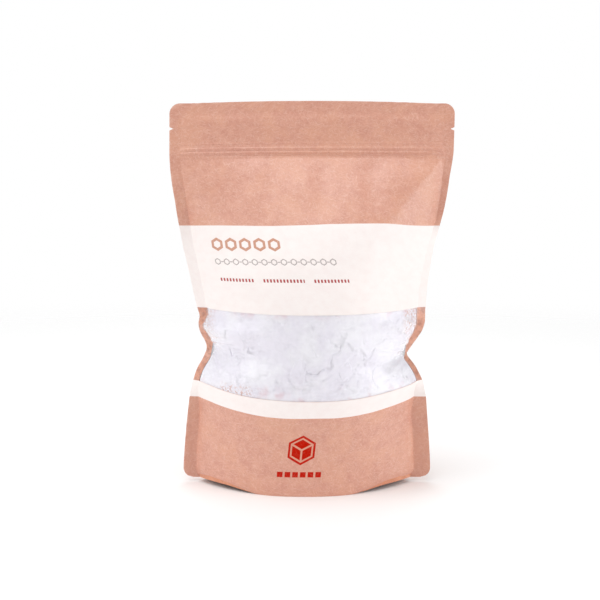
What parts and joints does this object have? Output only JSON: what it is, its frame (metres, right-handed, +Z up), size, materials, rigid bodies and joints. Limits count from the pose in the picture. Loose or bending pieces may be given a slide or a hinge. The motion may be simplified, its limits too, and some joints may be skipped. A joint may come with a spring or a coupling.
{
  "type": "stand-up zip pouch of loose chalk",
  "caption": "Stand-up kraft pouch of loose gymnastics chalk, with a window, a press zip and a tear-off header.",
  "frame": {"origin": "middle of the foot, on the surface that the pouch stands on", "axes": "+Z up, front of the pouch (window and label) towards -Y, +X to the right seen from the front"},
  "size_m": [0.19, 0.0871, 0.257],
  "materials": {
    "kraft_front": "matt kraft laminate, printed",
    "kraft_back": "matt kraft laminate",
    "kraft_gusset": "matt kraft laminate",
    "clear_film": "clear glossy film",
    "zip": "satin polyethylene",
    "chalk": "dusty matt powder and lumps"
  },
  "bodies": {
    "pouch": {"front_panel": "kraft_front", "back_panel": "kraft_back", "bottom_gusset": "kraft_gusset", "window_film": "clear_film", "chalk_powder": "chalk", "chalk_lump_1": "chalk", "chalk_lump_2": "chalk", "chalk_lump_3": "chalk", "chalk_lump_4": "chalk", "chalk_lump_5": "chalk", "chalk_lump_6": "chalk", "chalk_lump_7": "chalk", "chalk_lump_8": "chalk", "chalk_lump_9": "chalk"},
    "front_lip": {"front_lip": "kraft_front", "zip_rib_track": "zip"},
    "back_lip": {"back_lip": "kraft_back", "zip_groove_track": "zip"},
    "tear_header": {"header_front_ply": "kraft_front", "header_back_ply": "kraft_back"}
  },
  "joints": [
    {"name": "header_tear_off", "type": "slide", "parent": "pouch", "child": "tear_header", "axis": [0, 0, 1], "range_m": [0, 0.045]},
    {"name": "front_lip_bend", "type": "hinge", "parent": "pouch", "child": "front_lip", "pos_m": [0, -0.02452, 0.182], "axis": [1, 0, 0], "range_deg": [0, 26]},
    {"name": "back_lip_bend", "type": "hinge", "parent": "pouch", "child": "back_lip", "pos_m": [0, 0.02452, 0.182], "axis": [1, 0, 0], "range_deg": [-26, 0]}
  ],
  "couplings": [
    {"joint": "back_lip_bend", "follows": "front_lip_bend", "ratio": -1}
  ]
}
